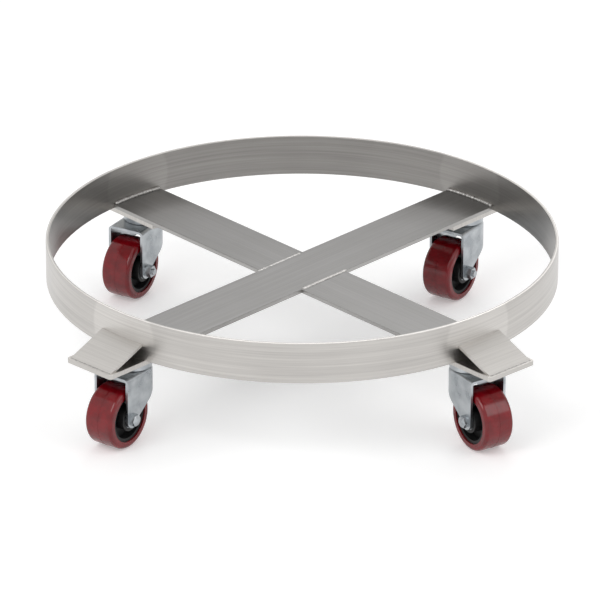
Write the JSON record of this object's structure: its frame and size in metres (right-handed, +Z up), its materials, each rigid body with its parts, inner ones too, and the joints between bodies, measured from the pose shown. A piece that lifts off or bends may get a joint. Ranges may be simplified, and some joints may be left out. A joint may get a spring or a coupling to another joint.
{
  "type": "drum trolley",
  "caption": "Low drum trolley: a brushed flat-bar ring with crossed bars inside, carried on outrigger plates by swivel castors with red polyurethane tyres.",
  "frame": {"origin": "on the floor, under the ring's axis", "axes": "+Z up along the ring's axis, -Y towards the front, +X to the right seen from the front"},
  "size_m": [0.608, 0.608, 0.161],
  "materials": {
    "brushed_stainless": "brushed",
    "weld_metal": "as welded, bright",
    "bright_zinc": "zinc plated",
    "black_core": "moulded",
    "red_polyurethane": "glossy"
  },
  "bodies": {
    "trolley_frame": {"ring": "brushed_stainless", "long_bar": "brushed_stainless", "short_bar_front_right": "brushed_stainless", "short_bar_back_left": "brushed_stainless", "king_pins": "bright_zinc", "king_nuts": "bright_zinc", "bar_end_welds": "weld_metal", "cover_welds": "weld_metal", "centre_welds": "weld_metal", "front_left_mount_plate": "brushed_stainless", "front_left_cover_plate": "brushed_stainless", "front_left_upper_race": "bright_zinc", "front_right_mount_plate": "brushed_stainless", "front_right_cover_plate": "brushed_stainless", "front_right_upper_race": "bright_zinc", "back_left_mount_plate": "brushed_stainless", "back_left_cover_plate": "brushed_stainless", "back_left_upper_race": "bright_zinc", "back_right_mount_plate": "brushed_stainless", "back_right_cover_plate": "brushed_stainless", "back_right_upper_race": "bright_zinc"},
    "front_left_castor": {"front_left_fork": "bright_zinc", "front_left_swivel_balls": "bright_zinc", "front_left_axle_bolt": "bright_zinc", "front_left_axle_nut": "bright_zinc", "front_left_axle_sleeve": "bright_zinc"},
    "front_left_wheel": {"front_left_wheel_bearings": "bright_zinc", "front_left_wheel_core": "black_core", "front_left_tyre": "red_polyurethane"},
    "front_right_castor": {"front_right_fork": "bright_zinc", "front_right_swivel_balls": "bright_zinc", "front_right_axle_bolt": "bright_zinc", "front_right_axle_nut": "bright_zinc", "front_right_axle_sleeve": "bright_zinc"},
    "front_right_wheel": {"front_right_wheel_bearings": "bright_zinc", "front_right_wheel_core": "black_core", "front_right_tyre": "red_polyurethane"},
    "back_left_castor": {"back_left_fork": "bright_zinc", "back_left_swivel_balls": "bright_zinc", "back_left_axle_bolt": "bright_zinc", "back_left_axle_nut": "bright_zinc", "back_left_axle_sleeve": "bright_zinc"},
    "back_left_wheel": {"back_left_wheel_bearings": "bright_zinc", "back_left_wheel_core": "black_core", "back_left_tyre": "red_polyurethane"},
    "back_right_castor": {"back_right_fork": "bright_zinc", "back_right_swivel_balls": "bright_zinc", "back_right_axle_bolt": "bright_zinc", "back_right_axle_nut": "bright_zinc", "back_right_axle_sleeve": "bright_zinc"},
    "back_right_wheel": {"back_right_wheel_bearings": "bright_zinc", "back_right_wheel_core": "black_core", "back_right_tyre": "red_polyurethane"}
  },
  "joints": [
    {"name": "front_left_swivel", "type": "hinge", "parent": "trolley_frame", "child": "front_left_castor", "pos_m": [-0.19573, -0.2099, 0.09], "axis": [0, 0, 1], "continuous": true},
    {"name": "front_left_roll", "type": "hinge", "parent": "front_left_castor", "child": "front_left_wheel", "pos_m": [-0.21294, -0.23447, 0.0375], "axis": [0.8192, -0.5736, 0], "continuous": true},
    {"name": "front_right_swivel", "type": "hinge", "parent": "trolley_frame", "child": "front_right_castor", "pos_m": [0.19573, -0.2099, 0.09], "axis": [0, 0, 1], "continuous": true},
    {"name": "front_right_roll", "type": "hinge", "parent": "front_right_castor", "child": "front_right_wheel", "pos_m": [0.21163, -0.23534, 0.0375], "axis": [0.848, 0.5299, 0], "continuous": true},
    {"name": "back_left_swivel", "type": "hinge", "parent": "trolley_frame", "child": "back_left_castor", "pos_m": [-0.19573, 0.2099, 0.09], "axis": [0, 0, 1], "continuous": true},
    {"name": "back_left_roll", "type": "hinge", "parent": "back_left_castor", "child": "back_left_wheel", "pos_m": [-0.21073, 0.18392, 0.0375], "axis": [0.866, -0.5, 0], "continuous": true},
    {"name": "back_right_swivel", "type": "hinge", "parent": "trolley_frame", "child": "back_right_castor", "pos_m": [0.19573, 0.2099, 0.09], "axis": [0, 0, 1], "continuous": true},
    {"name": "back_right_roll", "type": "hinge", "parent": "back_right_castor", "child": "back_right_wheel", "pos_m": [0.17984, 0.18446, 0.0375], "axis": [0.848, -0.5299, 0], "continuous": true}
  ]
}
